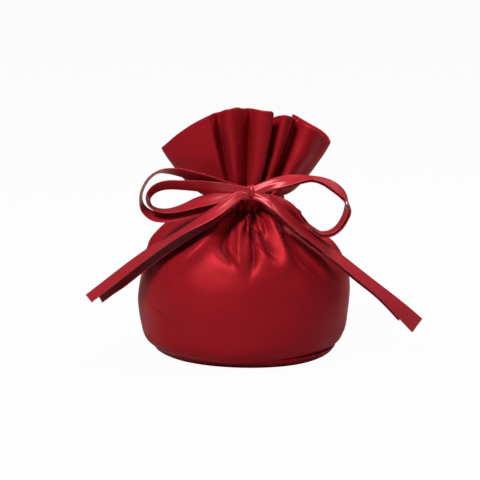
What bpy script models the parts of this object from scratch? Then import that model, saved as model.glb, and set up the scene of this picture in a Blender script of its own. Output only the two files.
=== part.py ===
"""Kinchaku drawstring pouch: a filled round-based satin pouch, drawn shut and tied with a bow.

The pouch is one sewn cloth tube (body, casing and ruffle) on a round base panel. Two satin
ribbons lie together in the casing and are tied as one in a bow at the front, so each side
has two loops and two tails. Metres, +Z up, origin on the ground under the pouch's axis,
+X to the right of somebody who faces the bow, who looks along +Y.
"""

import math

import bmesh
import bpy
from mathutils import Vector

# Driving dimensions of the base panel, a round cloth cut with a turned-up edge
BASE_FLAT_RADIUS = 0.0455
SEAM_RADIUS = 0.0500
SEAM_HEIGHT = 0.0042
PANEL_THICKNESS = 0.0008
PANEL_EDGE_BULGE = 0.45

# Driving dimensions of the filled body
BELLY_WIDTH = 0.1130
BELLY_DEPTH = 0.1070
BELLY_HEIGHT = 0.0290
SHOULDER_WIDTH = 0.0880
SHOULDER_DEPTH = 0.0840
SHOULDER_HEIGHT = 0.0610
SHOULDER_LEAN = -0.0030
UNDERNECK_RADIUS = 0.0280
UNDERNECK_HEIGHT = 0.0735

# Shares of the belly's width, depth and height at the ring below it, and of its width and
# depth at the ring above it
LOWER_BELLY = (0.96, 0.965, 0.4)
UPPER_BELLY = 0.95

# Driving dimensions of the casing, the gathered neck that the ribbons run in
NECK_RADIUS = 0.0205
CASING_BOTTOM = 0.0775
CASING_HEIGHT = 0.0065

# Driving dimensions of the ruffle above the casing
RUFFLE_WIDTH = 0.0860
RUFFLE_DEPTH = 0.0500
RUFFLE_TOP = 0.1320
RUFFLE_DROP = 0.0200
RUFFLE_WALL = 0.0016
RUFFLE_FLOOR = 0.22
PLEATS = 9
PLEAT_DEPTH = 0.0046
SHOULDER_FOLD = 0.0012
BELLY_FOLD_SHARE = 0.2
NECK_FOLD_SHARE = 0.4

# Driving dimensions of the ribbons
RIBBON_WIDTH = 0.0090
RIBBON_THICKNESS = 0.0005
TUNNEL_INSET = 0.0035
TUNNEL_SIZE = 0.0032
TUNNEL_COVER = 0.0005
STRAND_SIZE = 0.0024
KNOT_X = 0.0040
KNOT_RISE = 0.0083
KNOT_STANDOFF = 0.0057
KNOT_WIDTH = 0.0046
KNOT_HEIGHT = 0.0083
KNOT_DEPTH = 0.0056
WRAP_WALL = 0.0014
WRAP_REACH = 0.0024
LINK_WIDTH = 0.0020
LINK_THICKNESS = 0.0009
LINK_OFFSET = 0.0014
LINK_LEAD = 0.1

# Gap that neighbouring pieces keep
GAP = 0.0003

# Resolution
AROUND = 72
STEPS_PER_LEVEL = 3
RIBBON_STEP = 0.0042

CASING_TOP = CASING_BOTTOM + CASING_HEIGHT
CASING_MIDDLE = CASING_BOTTOM + CASING_HEIGHT / 2
TUNNEL_RADIUS = NECK_RADIUS - TUNNEL_INSET
TUNNEL_HEIGHT = CASING_HEIGHT - 2 * TUNNEL_COVER
STRAND_HEIGHT = (TUNNEL_HEIGHT - 3 * GAP) / 2
KNOT = Vector((KNOT_X, -NECK_RADIUS - KNOT_STANDOFF, CASING_MIDDLE + KNOT_RISE))

# The bow is read from the front and a little above: the direction of that look
LOOK_DOWN = math.radians(11.5)
LOOK = Vector((0.0, math.cos(LOOK_DOWN), -math.sin(LOOK_DOWN)))

# Routes of the ribbons, as offsets from the knot in metres. Each point ends with the turn of
# the ribbon in degrees, nought being edge-on to the front and positive swinging its front
# edge to the left of travel, and the share of the full width that is spread there.
LEFT_BIG_LOOP = (
    (-0.0014, 0.0010, 0.0004, -85, 0.45),
    (-0.0070, 0.0008, 0.0014, -78, 0.50),
    (-0.0154, 0.0000, 0.0034, -60, 0.75),
    (-0.0226, -0.0008, 0.0060, -42, 0.95),
    (-0.0292, -0.0016, 0.0085, -30, 1.0),
    (-0.0360, -0.0023, 0.0106, -24, 1.0),
    (-0.0430, -0.0030, 0.0117, -14, 1.0),
    (-0.0482, -0.0036, 0.0111, -4, 1.0),
    (-0.0528, -0.0042, 0.0078, -3, 1.0),
    (-0.0562, -0.0049, 0.0018, -3, 1.0),
    (-0.0568, -0.0054, -0.0036, -6, 1.0),
    (-0.0550, -0.0058, -0.0080, -20, 1.0),
    (-0.0502, -0.0062, -0.0112, -32, 1.0),
    (-0.0440, -0.0060, -0.0119, -34, 1.0),
    (-0.0380, -0.0056, -0.0108, -38, 1.0),
    (-0.0308, -0.0040, -0.0085, -45, 1.0),
    (-0.0236, -0.0024, -0.0060, -54, 0.90),
    (-0.0160, -0.0008, -0.0036, -66, 0.70),
    (-0.0080, 0.0006, -0.0016, -78, 0.50),
    (-0.0014, 0.0010, -0.0004, -85, 0.45),
)
LEFT_SMALL_LOOP = (
    (-0.0012, -0.0022, 0.0006, -85, 0.55),
    (-0.0070, -0.0026, 0.0014, -78, 0.60),
    (-0.0150, -0.0031, 0.0022, -62, 0.75),
    (-0.0226, -0.0034, 0.0034, -42, 0.90),
    (-0.0290, -0.0034, 0.0040, -33, 1.0),
    (-0.0360, -0.0034, 0.0044, -29, 1.0),
    (-0.0430, -0.0034, 0.0045, -27, 1.0),
    (-0.0482, -0.0036, 0.0033, -24, 1.0),
    (-0.0518, -0.0040, 0.0006, -17, 1.0),
    (-0.0532, -0.0046, -0.0028, -10, 1.0),
    (-0.0518, -0.0053, -0.0062, -8, 1.0),
    (-0.0476, -0.0059, -0.0082, -12, 1.0),
    (-0.0420, -0.0060, -0.0084, -16, 1.0),
    (-0.0350, -0.0056, -0.0068, -24, 1.0),
    (-0.0280, -0.0050, -0.0044, -36, 1.0),
    (-0.0205, -0.0043, -0.0026, -50, 0.85),
    (-0.0130, -0.0035, -0.0014, -66, 0.70),
    (-0.0070, -0.0028, -0.0008, -78, 0.60),
    (-0.0012, -0.0022, -0.0006, -85, 0.55),
)
RIGHT_FRONT_LOOP = (
    (0.0012, -0.0020, 0.0008, 95, 0.60),
    (0.0072, -0.0026, 0.0036, 106, 0.62),
    (0.0128, -0.0032, 0.0055, 120, 0.74),
    (0.0190, -0.0036, 0.0070, 138, 0.90),
    (0.0250, -0.0038, 0.0080, 156, 1.0),
    (0.0310, -0.0038, 0.0083, 166, 1.0),
    (0.0370, -0.0038, 0.0068, 160, 1.0),
    (0.0424, -0.0038, 0.0038, 152, 1.0),
    (0.0466, -0.0038, 0.0002, 158, 1.0),
    (0.0492, -0.0038, -0.0040, 174, 1.0),
    (0.0497, -0.0038, -0.0086, 192, 1.0),
    (0.0482, -0.0040, -0.0132, 194, 1.0),
    (0.0450, -0.0044, -0.0180, 194, 1.0),
    (0.0406, -0.0048, -0.0210, 194, 1.0),
    (0.0350, -0.0052, -0.0214, 192, 1.0),
    (0.0302, -0.0052, -0.0182, 186, 1.0),
    (0.0250, -0.0048, -0.0136, 170, 1.0),
    (0.0196, -0.0040, -0.0090, 145, 0.95),
    (0.0140, -0.0032, -0.0054, 116, 0.72),
    (0.0076, -0.0025, -0.0024, 102, 0.60),
    (0.0012, -0.0020, -0.0006, 95, 0.60),
)
LEFT_FRONT_TAIL = (
    (-0.0012, -0.0022, -0.0006, 85, 0.55),
    (-0.0062, -0.0044, -0.0006, 72, 0.55),
    (-0.0115, -0.0068, -0.0036, 58, 0.70),
    (-0.0175, -0.0092, -0.0075, 46, 0.85),
    (-0.0241, -0.0104, -0.0115, 34, 0.95),
    (-0.0317, -0.0100, -0.0158, 27, 1.0),
    (-0.0393, -0.0084, -0.0206, 26, 1.0),
    (-0.0470, -0.0062, -0.0261, 28, 1.0),
    (-0.0549, -0.0030, -0.0323, 31, 1.0),
    (-0.0629, 0.0008, -0.0389, 33, 1.0),
    (-0.0711, 0.0046, -0.0460, 34, 1.0),
    (-0.0788, 0.0082, -0.0526, 34, 1.0),
    (-0.0860, 0.0112, -0.0588, 34, 1.0),
)
LEFT_REAR_TAIL = (
    (-0.0014, 0.0010, -0.0002, 85, 0.42),
    (-0.0062, 0.0010, -0.0022, 78, 0.42),
    (-0.0113, 0.0004, -0.0064, 65, 0.55),
    (-0.0175, -0.0010, -0.0114, 50, 0.70),
    (-0.0243, -0.0024, -0.0163, 36, 0.90),
    (-0.0319, -0.0034, -0.0212, 28, 1.0),
    (-0.0394, -0.0036, -0.0262, 26, 1.0),
    (-0.0472, -0.0018, -0.0318, 28, 1.0),
    (-0.0541, 0.0010, -0.0374, 32, 1.0),
    (-0.0611, 0.0044, -0.0430, 38, 1.0),
    (-0.0676, 0.0074, -0.0485, 40, 1.0),
    (-0.0735, 0.0100, -0.0534, 34, 1.0),
    (-0.0801, 0.0128, -0.0593, 30, 1.0),
)
RIGHT_FRONT_TAIL = (
    (0.0012, -0.0022, -0.0006, -85, 0.55),
    (0.0077, -0.0052, -0.0030, -62, 0.60),
    (0.0128, -0.0076, -0.0064, -45, 0.75),
    (0.0189, -0.0092, -0.0117, -32, 0.90),
    (0.0265, -0.0098, -0.0183, -28, 1.0),
    (0.0353, -0.0092, -0.0253, -30, 1.0),
    (0.0451, -0.0070, -0.0335, -34, 1.0),
    (0.0558, -0.0034, -0.0428, -36, 1.0),
    (0.0655, 0.0006, -0.0513, -38, 1.0),
    (0.0733, 0.0040, -0.0587, -48, 1.0),
    (0.0806, 0.0070, -0.0660, -64, 1.0),
    (0.0876, 0.0098, -0.0731, -78, 1.0),
)
RIGHT_REAR_TAIL = (
    (0.0014, 0.0010, -0.0004, -85, 0.45),
    (0.0064, 0.0012, -0.0042, -80, 0.45),
    (0.0120, 0.0012, -0.0094, -68, 0.55),
    (0.0186, 0.0008, -0.0150, -52, 0.70),
    (0.0266, -0.0004, -0.0216, -38, 0.90),
    (0.0355, -0.0020, -0.0284, -32, 1.0),
    (0.0453, -0.0018, -0.0360, -34, 1.0),
    (0.0556, 0.0006, -0.0448, -36, 1.0),
    (0.0650, 0.0040, -0.0528, -38, 1.0),
    (0.0724, 0.0070, -0.0598, -46, 1.0),
    (0.0792, 0.0098, -0.0668, -56, 1.0),
)

# How far the hidden second right loop lies inside the first, freely and at the knot
LOOP_NESTING = 0.0013
KNOT_NESTING = 0.0032
NESTING_REACH = 0.0240
NESTED_WIDTH = 0.9


def clear_scene():
    """Take every object out of the scene."""
    for thing in list(bpy.data.objects):
        bpy.data.objects.remove(thing, do_unlink=True)


def new_collection(name):
    """Make a collection in the scene."""
    made = bpy.data.collections.new(name)
    bpy.context.scene.collection.children.link(made)
    return made


def cloth_material(name, colour, roughness):
    """Make the Principled material of one piece."""
    material = bpy.data.materials.new(name)
    material.use_nodes = True
    shader = material.node_tree.nodes["Principled BSDF"]
    shader.inputs["Base Color"].default_value = (*colour, 1.0)
    shader.inputs["Roughness"].default_value = roughness
    shader.inputs["Metallic"].default_value = 0.0
    return material


def add_object(name, mesh, collection, material=None):
    """Put a mesh in a collection as one named object."""
    made = bpy.data.objects.new(name, mesh)
    collection.objects.link(made)
    if material:
        mesh.materials.append(material)
    return made


def smooth_line(points, steps):
    """Points of a smooth curve through rows of numbers, with so many steps to each span."""
    rows = [Vector(row) for row in points]
    rows = [2 * rows[0] - rows[1], *rows, 2 * rows[-1] - rows[-2]]
    line = []
    for before, start, end, after in zip(rows, rows[1:], rows[2:], rows[3:]):
        for step in range(steps):
            t = step / steps
            curve = 2 * start + (end - before) * t
            curve += (2 * before - 5 * start + 4 * end - after) * t ** 2
            curve += (3 * start - before - 3 * end + after) * t ** 3
            line.append(curve / 2)
    line.append(rows[-2])
    return line


def loft(name, rings):
    """Join closed rings of equally many points into one body, with a fan on each end."""
    shape = bmesh.new()
    loops = [[shape.verts.new(point) for point in ring] for ring in rings]
    for lower, upper in zip(loops, loops[1:]):
        for i in range(len(lower)):
            j = (i + 1) % len(lower)
            shape.faces.new((lower[i], lower[j], upper[j], upper[i]))
    for loop, order in ((loops[0], -1), (loops[-1], 1)):
        middle = shape.verts.new(sum((corner.co for corner in loop), Vector()) / len(loop))
        for i in range(len(loop)):
            pair = (loop[i], loop[(i + 1) % len(loop)])[::order]
            shape.faces.new((*pair, middle))
    bmesh.ops.recalc_face_normals(shape, faces=shape.faces)
    mesh = bpy.data.meshes.new(name)
    shape.to_mesh(mesh)
    shape.free()
    return mesh


def ring_angles():
    """The angles at which every ring of the cloth has a point."""
    return [2 * math.pi * i / AROUND for i in range(AROUND)]


def oval_ring(half_width, half_depth, lean, height, fold):
    """One level of the body: an oval with gathers of the given depth."""
    ring = []
    for angle in ring_angles():
        gather = fold * math.cos(PLEATS * angle)
        ring.append(Vector((
            lean + (half_width + gather) * math.cos(angle),
            (half_depth + gather) * math.sin(angle),
            height,
        )))
    return ring


def body_rings():
    """The rings of the filled body, from inside the base panel up to the casing."""
    half_width = BELLY_WIDTH / 2
    half_depth = BELLY_DEPTH / 2
    lower_width, lower_depth, lower_rise = LOWER_BELLY
    upper_height = (BELLY_HEIGHT + SHOULDER_HEIGHT) / 2
    levels = (
        (SEAM_RADIUS, SEAM_RADIUS, 0.0, SEAM_HEIGHT + GAP, 0.0),
        (lower_width * half_width, lower_depth * half_depth, 0.0, lower_rise * BELLY_HEIGHT, 0.0),
        (half_width, half_depth, 0.0, BELLY_HEIGHT, 0.0),
        (UPPER_BELLY * half_width, UPPER_BELLY * half_depth, SHOULDER_LEAN / 4,
         upper_height, BELLY_FOLD_SHARE * SHOULDER_FOLD),
        (SHOULDER_WIDTH / 2, SHOULDER_DEPTH / 2, SHOULDER_LEAN, SHOULDER_HEIGHT, SHOULDER_FOLD),
        (UNDERNECK_RADIUS, UNDERNECK_RADIUS, SHOULDER_LEAN / 2, UNDERNECK_HEIGHT, SHOULDER_FOLD),
        (NECK_RADIUS, NECK_RADIUS, 0.0, CASING_BOTTOM, NECK_FOLD_SHARE * SHOULDER_FOLD),
    )
    inner_edge = SEAM_RADIUS - PANEL_THICKNESS - GAP
    floor_edge = BASE_FLAT_RADIUS - PANEL_THICKNESS - GAP
    rings = [
        oval_ring(floor_edge, floor_edge, 0.0, PANEL_THICKNESS + GAP, 0.0),
        oval_ring(inner_edge, inner_edge, 0.0, SEAM_HEIGHT + GAP, 0.0),
    ]
    rings += [oval_ring(*level) for level in smooth_line(levels, STEPS_PER_LEVEL)]
    return rings


def ruffle_ring(rise, inset):
    """One level of the ruffle, rise being its share of the way from the casing to the rim."""
    flare = math.sin(rise * math.pi / 2)
    half_width = NECK_RADIUS + (RUFFLE_WIDTH / 2 - NECK_RADIUS) * flare
    half_depth = NECK_RADIUS + (RUFFLE_DEPTH / 2 - NECK_RADIUS) * flare
    ring = []
    for angle in ring_angles():
        fold = PLEAT_DEPTH * rise * math.cos(PLEATS * angle)
        rim = RUFFLE_TOP - RUFFLE_DROP * math.cos(angle) ** 2
        ring.append(Vector((
            (half_width + fold - inset) * math.cos(angle),
            (half_depth + fold - inset) * math.sin(angle),
            CASING_TOP + (rim - CASING_TOP) * rise,
        )))
    return ring


def ruffle_rings():
    """The rings up the outside of the ruffle, over its rim and down into its mouth."""
    outer = [0.0, 0.08, 0.22, 0.4, 0.6, 0.8, 1.0]
    inner = [rise for rise in reversed(outer) if rise >= RUFFLE_FLOOR]
    rings = [ruffle_ring(rise, 0.0) for rise in outer]
    rings += [ruffle_ring(rise, RUFFLE_WALL) for rise in inner]
    return rings


def turned(name, profile, collection, material=None):
    """Turn a closed or axis-to-axis profile of radius and height round the Z axis."""
    mesh = bpy.data.meshes.new(name)
    points = [(radius, 0.0, height) for radius, height in profile]
    edges = [(i, i + 1) for i in range(len(points) - 1)]
    if profile[0][0] > 0:
        edges.append((len(points) - 1, 0))
    mesh.from_pydata(points, edges, [])
    made = add_object(name, mesh, collection, material)
    screw = made.modifiers.new("turn", "SCREW")
    screw.steps = AROUND
    screw.render_steps = AROUND
    screw.use_merge_vertices = True
    screw.merge_threshold = 0.00001
    return made


def tunnel_profile(size, bottom, height):
    """The section of something that runs round inside the casing, down its outer side."""
    inside = TUNNEL_RADIUS - size / 2
    outside = TUNNEL_RADIUS + size / 2
    return (
        (inside, bottom + height),
        (outside, bottom + height),
        (outside, bottom),
        (inside, bottom),
    )


def box(name, low, high, collection):
    """A plain block between two corners."""
    shape = bmesh.new()
    bmesh.ops.create_cube(shape, size=1.0)
    low = Vector(low)
    high = Vector(high)
    for corner in shape.verts:
        corner.co = (low + high) / 2 + corner.co * (high - low)
    mesh = bpy.data.meshes.new(name)
    shape.to_mesh(mesh)
    shape.free()
    return add_object(name, mesh, collection)


def as_guide(thing):
    """Mark an object as a cutter or guide that is no part of the pouch."""
    thing.hide_render = True
    thing.display_type = "WIRE"
    return thing


def combine(target, tool, operation):
    """Join a guide to a piece, or cut the piece with it."""
    change = target.modifiers.new(tool.name, "BOOLEAN")
    change.operation = operation
    change.solver = "EXACT"
    change.use_self = operation == "UNION"
    change.object = tool


def make_base_panel(parts):
    """The round base panel, a shallow cloth dish whose edge turns up to the base seam."""
    profile = (
        (0.0, PANEL_THICKNESS),
        (BASE_FLAT_RADIUS - PANEL_THICKNESS, PANEL_THICKNESS),
        (SEAM_RADIUS - PANEL_THICKNESS, SEAM_HEIGHT),
        (SEAM_RADIUS, SEAM_HEIGHT),
        ((BASE_FLAT_RADIUS + 2 * SEAM_RADIUS) / 3, SEAM_HEIGHT * PANEL_EDGE_BULGE),
        (BASE_FLAT_RADIUS, 0.0),
        (0.0, 0.0),
    )
    red = cloth_material("base_satin", (0.20, 0.006, 0.010), 0.45)
    return turned("base_panel", profile, parts, red)


def make_pouch(parts, cutters):
    """The sewn cloth tube, filled below the neck and open in its ruffle above."""
    red = cloth_material("pouch_satin", (0.24, 0.007, 0.012), 0.40)
    cloth = loft("pouch_cloth", body_rings() + ruffle_rings())
    pouch = add_object("pouch_cloth", cloth, parts, red)
    tunnel_bottom = CASING_MIDDLE - TUNNEL_HEIGHT / 2
    profile = tunnel_profile(TUNNEL_SIZE, tunnel_bottom, TUNNEL_HEIGHT)
    combine(pouch, as_guide(turned("ribbon_tunnel", profile, cutters)), "DIFFERENCE")
    exit_half = LINK_OFFSET + LINK_WIDTH / 2 + 2 * GAP
    slot_back = -TUNNEL_RADIUS + TUNNEL_SIZE / 4
    slot_top = KNOT.z - KNOT_HEIGHT / 2 + WRAP_WALL + GAP
    slot = box(
        "ribbon_exit",
        (KNOT_X - exit_half, -NECK_RADIUS - KNOT_STANDOFF, tunnel_bottom),
        (KNOT_X + exit_half, slot_back, slot_top),
        cutters,
    )
    combine(pouch, as_guide(slot), "DIFFERENCE")
    return pouch


def ribbon_stations(route):
    """Evenly spread centres of a ribbon, each with its half-width vector."""
    rows = smooth_line(route, 6)
    line = [rows[0]]
    for row in rows[1:]:
        if (row.to_3d() - line[-1].to_3d()).length >= RIBBON_STEP:
            line.append(row)
    line[-1] = rows[-1]
    stations = []
    for i, row in enumerate(line):
        ahead = line[min(i + 1, len(line) - 1)].to_3d()
        behind = line[max(i - 1, 0)].to_3d()
        travel = (ahead - behind).normalized()
        front = (-LOOK - travel * travel.dot(-LOOK)).normalized()
        left = travel.cross(LOOK).normalized()
        turn = math.radians(row[3])
        across = front * math.cos(turn) + left * math.sin(turn)
        stations.append((row.to_3d(), across * row[4] * RIBBON_WIDTH / 2))
    return stations


def nested(stations):
    """Stations of a second band that lies against the back of the first."""
    last = len(stations) - 1
    shifted = []
    for i, (at, half) in enumerate(stations):
        near = max(0.0, 1.0 - at.length / NESTING_REACH)
        depth = LOOP_NESTING + (KNOT_NESTING - LOOP_NESTING) * near
        travel = stations[min(i + 1, last)][0] - stations[max(i - 1, 0)][0]
        shifted.append((at - travel.cross(half).normalized() * depth, half * NESTED_WIDTH))
    return shifted


def strip(name, stations, origin, thickness, collection):
    """A flat band through stations, given thickness, as a plain mesh object."""
    shape = bmesh.new()
    pairs = [
        (shape.verts.new(origin + at - half), shape.verts.new(origin + at + half))
        for at, half in stations
    ]
    for (a, b), (c, d) in zip(pairs, pairs[1:]):
        shape.faces.new((a, b, d, c))
    mesh = bpy.data.meshes.new(name)
    shape.to_mesh(mesh)
    shape.free()
    made = add_object(name, mesh, collection)
    thicken = made.modifiers.new("thickness", "SOLIDIFY")
    thicken.thickness = thickness
    thicken.offset = 0.0
    made.modifiers.new("flat_faces", "TRIANGULATE")
    return made


def link_strip(name, side, strand_bottom, end_depth, end_rise, collection):
    """The crumpled stretch of ribbon from the casing's exit up into the knot."""
    x = KNOT_X + side * LINK_OFFSET
    strand_middle = strand_bottom + STRAND_HEIGHT / 2
    turn_y = -NECK_RADIUS - LINK_LEAD * KNOT_STANDOFF
    route = (
        (x, -TUNNEL_RADIUS, strand_middle),
        (x, turn_y, strand_middle),
        (x, KNOT.y + KNOT_DEPTH / 2 + 2 * LINK_THICKNESS, KNOT.z + end_rise),
        (x, KNOT.y + end_depth, KNOT.z + end_rise),
    )
    across = Vector((LINK_WIDTH / 2, 0.0, 0.0))
    stations = [(Vector(point), across) for point in route]
    return strip(name, stations, Vector(), LINK_THICKNESS, collection)


def wrap_piece(cutters):
    """The wrap of the knot: front, top and bottom walls, open at the sides and the back."""
    half = Vector((KNOT_WIDTH, KNOT_DEPTH, KNOT_HEIGHT)) / 2
    back = Vector((half.x, WRAP_REACH - half.y, half.z))
    wrap = box("wrap_block", KNOT - half, KNOT + back, cutters)
    hollow = box(
        "wrap_hollow",
        KNOT + Vector((-2 * half.x, WRAP_WALL - half.y, WRAP_WALL - half.z)),
        KNOT + Vector((2 * half.x, half.y, half.z - WRAP_WALL)),
        cutters,
    )
    combine(wrap, as_guide(hollow), "DIFFERENCE")
    return wrap


def core_block(cutters):
    """The part of the knot that the wrap goes round."""
    half = Vector((KNOT_WIDTH / 2 + 2 * GAP, KNOT_DEPTH / 2, KNOT_HEIGHT / 2 - WRAP_WALL - GAP))
    low = KNOT - half + Vector((0.0, WRAP_WALL + 2 * GAP, 0.0))
    return box("core_block", low, KNOT + half, cutters)


def make_ribbon(name, bands, strand_bottom, knot_part, link, parts, cutters, colour):
    """One ribbon: its strand in the casing, its part of the knot, its loops and tails."""
    profile = tunnel_profile(STRAND_SIZE, strand_bottom, STRAND_HEIGHT)
    red = cloth_material(name + "_satin", colour, 0.35)
    ribbon = turned(name, profile, parts, red)
    pieces = [as_guide(link), as_guide(knot_part)]
    for label, stations in bands.items():
        band = strip(name + "_" + label, stations, KNOT, RIBBON_THICKNESS, cutters)
        pieces.append(as_guide(band))
    for piece in pieces:
        combine(ribbon, piece, "UNION")
    return ribbon


def make_ribbons(parts, cutters):
    """The two ribbons, the front one wrapping the rear one in the knot."""
    upper = CASING_MIDDLE + GAP / 2
    lower = CASING_MIDDLE - GAP / 2 - STRAND_HEIGHT
    right_loop = ribbon_stations(RIGHT_FRONT_LOOP)
    front_bands = {
        "left_loop": ribbon_stations(LEFT_SMALL_LOOP),
        "right_loop": right_loop,
        "left_tail": ribbon_stations(LEFT_FRONT_TAIL),
        "right_tail": ribbon_stations(RIGHT_FRONT_TAIL),
    }
    rear_bands = {
        "left_loop": ribbon_stations(LEFT_BIG_LOOP),
        "right_loop": nested(right_loop),
        "left_tail": ribbon_stations(LEFT_REAR_TAIL),
        "right_tail": ribbon_stations(RIGHT_REAR_TAIL),
    }
    arm_depth = WRAP_REACH - KNOT_DEPTH / 2 - LINK_THICKNESS
    arm_rise = (WRAP_WALL - KNOT_HEIGHT) / 2
    front_link = link_strip("front_link", -1, upper, arm_depth, arm_rise, cutters)
    rear_link = link_strip("rear_link", 1, lower, KNOT_DEPTH / 4, -WRAP_WALL, cutters)
    make_ribbon("ribbon_front", front_bands, upper, wrap_piece(cutters), front_link,
                parts, cutters, (0.33, 0.012, 0.020))
    make_ribbon("ribbon_rear", rear_bands, lower, core_block(cutters), rear_link,
                parts, cutters, (0.31, 0.011, 0.018))


def main():
    """Build the pouch in its own frame."""
    clear_scene()
    parts = new_collection("kinchaku_pouch")
    cutters = new_collection("cutters_and_guides")
    make_base_panel(parts)
    make_pouch(parts, cutters)
    make_ribbons(parts, cutters)


main()
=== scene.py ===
"""The look of a kinchaku drawstring pouch: satin cloth, base panel, ribbon bow and studio.

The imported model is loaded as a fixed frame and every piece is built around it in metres,
+Z up, with the bow on the -Y side and +X to the right of somebody who faces the bow.
"""

import math
import random

import bpy
import numpy as np
from bpy.props import FloatProperty, FloatVectorProperty, IntProperty, PointerProperty
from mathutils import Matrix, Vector, noise


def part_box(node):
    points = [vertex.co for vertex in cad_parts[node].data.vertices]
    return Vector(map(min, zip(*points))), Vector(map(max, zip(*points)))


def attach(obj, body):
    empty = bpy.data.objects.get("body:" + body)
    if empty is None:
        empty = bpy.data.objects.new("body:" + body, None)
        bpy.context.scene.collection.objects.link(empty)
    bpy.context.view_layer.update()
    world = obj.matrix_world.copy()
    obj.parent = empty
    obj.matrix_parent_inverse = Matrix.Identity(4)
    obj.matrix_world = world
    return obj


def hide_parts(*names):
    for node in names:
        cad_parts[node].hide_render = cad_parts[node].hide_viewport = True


bl_info = {
    "name": "Kinchaku Pouch",
    "version": (1, 0, 0),
    "blender": (4, 5, 0),
    "location": "3D View > Sidebar > Kinchaku",
    "description": "Builds a drawn and tied satin pouch around its packed frame",
    "category": "Object",
}

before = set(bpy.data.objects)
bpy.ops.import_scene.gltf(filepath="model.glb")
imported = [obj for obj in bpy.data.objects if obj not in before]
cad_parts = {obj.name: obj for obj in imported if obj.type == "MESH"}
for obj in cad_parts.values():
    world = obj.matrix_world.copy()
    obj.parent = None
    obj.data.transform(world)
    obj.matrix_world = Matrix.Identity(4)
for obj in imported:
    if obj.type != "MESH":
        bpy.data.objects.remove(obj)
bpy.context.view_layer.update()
POUCH_LOW, POUCH_HIGH = (Vector(corner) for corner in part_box("pouch_cloth"))
PANEL_LOW, PANEL_HIGH = (Vector(corner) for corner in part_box("base_panel"))

# The casing, which the CAD gives as a plain neck, and the knot in front of it
NECK_RADIUS = 0.0205
CASING_BOTTOM = 0.0775
CASING_TOP = 0.0840
KNOT = Vector((0.0040, -0.0262, 0.08905))

# The bow is read from the front and a little above: the direction of that look
LOOK_DOWN = math.radians(11.5)
LOOK = Vector((0.0, math.cos(LOOK_DOWN), -math.sin(LOOK_DOWN)))

# Outline of the filled body: height as a share of the casing's bottom, then the reach to the
# left, to the right and to the front and back as shares of the body's half width and depth
BODY_OUTLINE = (
    (0.058, 0.880, 0.860, 0.900),
    (0.084, 0.935, 0.905, 0.935),
    (0.126, 0.960, 0.938, 0.965),
    (0.168, 0.972, 0.962, 0.980),
    (0.253, 0.991, 0.984, 0.994),
    (0.361, 1.003, 1.006, 1.000),
    (0.465, 0.985, 1.012, 0.991),
    (0.581, 0.958, 0.978, 0.963),
    (0.710, 0.905, 0.850, 0.888),
    (0.813, 0.805, 0.665, 0.770),
    (0.890, 0.685, 0.535, 0.640),
    (0.942, 0.566, 0.513, 0.551),
    (0.981, 0.442, 0.425, 0.449),
    (1.000, 0.376, 0.376, 0.397),
)

# Folds of the body's front, from the casing down. Each has its rise (a valley's is below
# nought), its widths left and right of the crest at the bottom end in metres, and its path
# as angles round the pouch (-90 is the front, -180 the left) with heights.
FRONT_FOLDS = (
    (0.0042, 0.0150, 0.0060, ((-97, 0.0780), (-107, 0.0745), (-112, 0.0700), (-115, 0.0660),
                              (-120, 0.0600), (-127, 0.0535), (-135, 0.0470))),
    (-0.0036, 0.0036, 0.0034, ((-100, 0.0765), (-105, 0.0710), (-105.5, 0.0640),
                               (-99, 0.0580), (-94, 0.0540))),
    (0.0010, 0.0016, 0.0016, ((-101, 0.0630), (-95, 0.0573), (-89.5, 0.0520))),
    (0.0036, 0.0030, 0.0040, ((-82, 0.0775), (-92, 0.0733), (-94, 0.0670), (-93, 0.0577),
                              (-90, 0.0500))),
    (-0.0036, 0.0030, 0.0028, ((-79, 0.0755), (-83, 0.0713), (-83.5, 0.0610), (-87, 0.0490))),
    (0.0018, 0.0060, 0.0016, ((-84, 0.0677), (-78.5, 0.0609), (-73, 0.0530))),
    (-0.0032, 0.0024, 0.0034, ((-79, 0.0713), (-73.5, 0.0669), (-70.5, 0.0560))),
    (0.0038, 0.0050, 0.0068, ((-68.5, 0.0785), (-64, 0.0741), (-61.5, 0.0665),
                              (-63, 0.0585), (-67, 0.0490))),
    (-0.0026, 0.0060, 0.0060, ((-46, 0.0765), (-50, 0.0720), (-55, 0.0635), (-55.5, 0.0540))),
    (0.0010, 0.0020, 0.0016, ((-57, 0.0600), (-54, 0.0540), (-47, 0.0470))),
    (0.0014, 0.0034, 0.0022, ((-45.5, 0.0633), (-45, 0.0573), (-41, 0.0505), (-33.5, 0.0405))),
    (-0.0026, 0.0070, 0.0070, ((-117, 0.0777), (-124, 0.0705), (-132, 0.0625),
                               (-142, 0.0533))),
    (-0.0008, 0.0030, 0.0022, ((-149, 0.0305), (-138.5, 0.0265), (-131, 0.0213))),
)

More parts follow.
